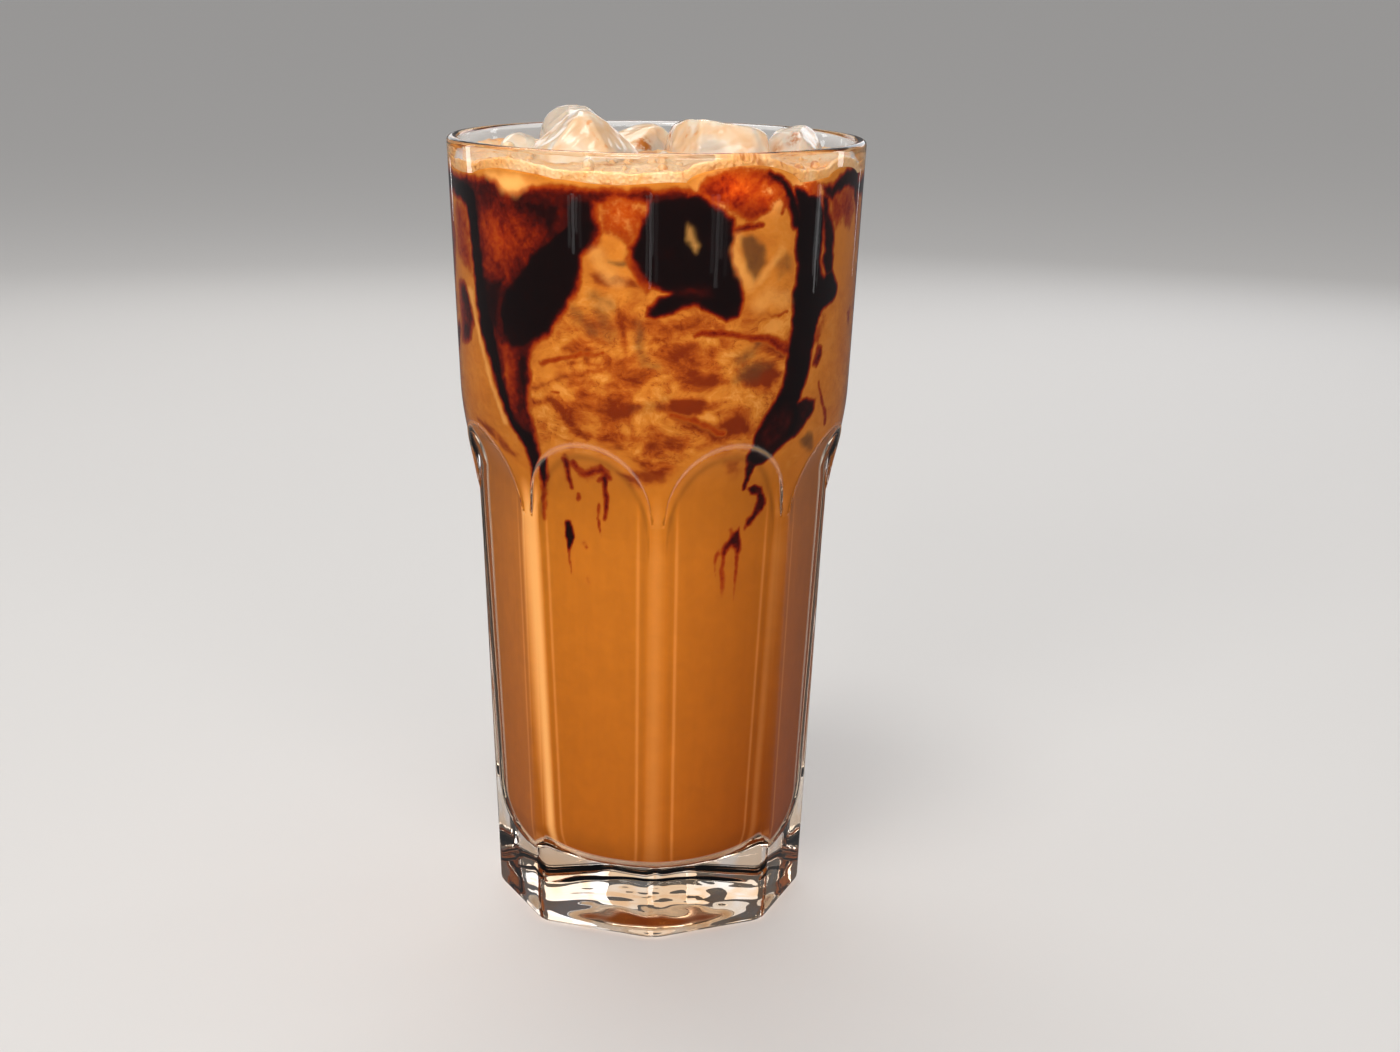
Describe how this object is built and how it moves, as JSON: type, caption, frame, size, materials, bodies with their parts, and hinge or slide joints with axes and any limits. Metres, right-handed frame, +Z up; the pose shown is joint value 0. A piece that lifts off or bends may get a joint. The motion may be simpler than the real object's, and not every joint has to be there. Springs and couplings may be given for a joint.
{
  "type": "iced coffee",
  "caption": "Tall faceted glass of milky iced coffee, with dark syrup running down inside the wall and ice standing above the drink.",
  "frame": {"origin": "centre of the glass's base, on the surface that it stands on", "axes": "+Z up along the axis of the glass, front towards -Y"},
  "size_m": [0.088, 0.088, 0.1738],
  "materials": {
    "glass": "clear, fire polished",
    "coffee": "wet milky coffee with dark syrup",
    "ice": "melting ice with a thin film of milk foam"
  },
  "bodies": {
    "root": {"glass": "glass", "coffee": "coffee", "ice_left": "ice", "ice_left_back": "ice", "ice_left_small": "ice", "ice_back": "ice", "ice_centre": "ice", "ice_right": "ice"}
  },
  "joints": []
}
